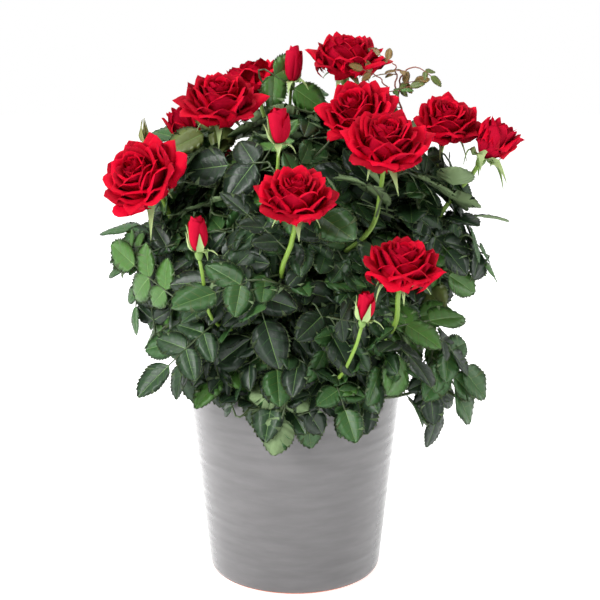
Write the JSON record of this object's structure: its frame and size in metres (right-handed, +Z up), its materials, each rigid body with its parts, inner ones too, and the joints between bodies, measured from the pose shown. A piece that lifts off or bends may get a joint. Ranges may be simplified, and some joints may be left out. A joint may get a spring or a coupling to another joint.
{
  "type": "potted rose bush",
  "caption": "Bushy patio rose with open red blooms and furled buds over dark green toothed leaves, growing in a ribbed grey glazed pot.",
  "frame": {"origin": "centre of the pot's flat underside, on the surface that the pot stands on", "axes": "+Z up along the pot's axis, -Y towards the front of the plant, +X to the right seen from the front"},
  "size_m": [0.2869, 0.2464, 0.3714],
  "materials": {
    "glaze": "gloss",
    "soil": "matte",
    "bark": "matte",
    "stalk": "satin",
    "leaf": "satin",
    "petal": "matte"
  },
  "bodies": {
    "root": {"bloom_back_left": "petal", "bloom_back_right": "petal", "bloom_behind": "petal", "bloom_far_right": "petal", "bloom_front": "petal", "bloom_heart": "petal", "bloom_left": "petal", "bloom_low_right": "petal", "bloom_near_heart": "petal", "bloom_right": "petal", "bloom_top": "petal", "bloom_tucked": "petal", "bloom_upper_left": "petal", "bud_left": "petal", "bud_low": "petal", "bud_top": "petal", "bud_upper": "petal", "cane_back_left": "bark", "cane_back_right": "bark", "cane_front": "bark", "cane_left": "bark", "cane_right": "bark", "foliage_apron_left": "leaf", "foliage_apron_middle": "leaf", "foliage_apron_right": "leaf", "foliage_back_left": "leaf", "foliage_back_low": "leaf", "foliage_back_right": "leaf", "foliage_back_top": "leaf", "foliage_front_left": "leaf", "foliage_front_right": "leaf", "foliage_front_upper": "leaf", "foliage_left_arm": "leaf", "foliage_left_low": "leaf", "foliage_right_arm": "leaf", "foliage_right_low": "leaf", "foliage_shoot": "leaf", "foliage_spray_right": "leaf", "foliage_sprig": "leaf", "foliage_top_left": "leaf", "foliage_top_middle": "leaf", "foliage_top_right": "leaf", "foot": "bark", "pot": "glaze", "soil": "soil", "stalk_bloom_behind": "stalk", "stalk_bloom_far_right": "stalk", "stalk_bloom_front": "stalk", "stalk_bloom_heart": "stalk", "stalk_bloom_left": "stalk", "stalk_bloom_low_right": "stalk", "stalk_bloom_near_heart": "stalk", "stalk_bloom_right": "stalk", "stalk_bloom_top": "stalk", "stalk_bloom_tucked": "stalk", "stalk_bloom_upper_left": "stalk", "stalk_bud_left": "stalk", "stalk_bud_low": "stalk", "stalk_bud_top": "stalk", "stalk_bud_upper": "stalk"}
  },
  "joints": []
}
